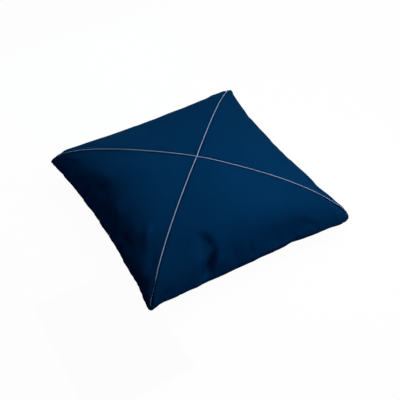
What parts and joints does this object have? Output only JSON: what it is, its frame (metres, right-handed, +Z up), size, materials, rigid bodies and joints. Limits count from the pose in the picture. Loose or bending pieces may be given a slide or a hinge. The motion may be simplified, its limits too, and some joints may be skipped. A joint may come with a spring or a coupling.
{
  "type": "throw cushion",
  "caption": "Filled square throw cushion lying on its back, its front made of triangular panels joined by thin piped seams on the diagonals.",
  "frame": {"origin": "centre of the cushion's footprint, on the surface that its back rests on", "axes": "+Z up out of the panelled front; the sides run along X and Y, with the near left corner at -X -Y"},
  "size_m": [0.5016, 0.508, 0.1393],
  "materials": {
    "navy_cloth": "close smooth weave with a soft satin sheen, deep navy",
    "mauve_piping": "matt cloth-covered piping, greyish mauve leaning to blue"
  },
  "bodies": {
    "root": {"cushion": "navy_cloth", "piping_long": "mauve_piping", "piping_half_left": "mauve_piping", "piping_half_right": "mauve_piping"}
  },
  "joints": []
}
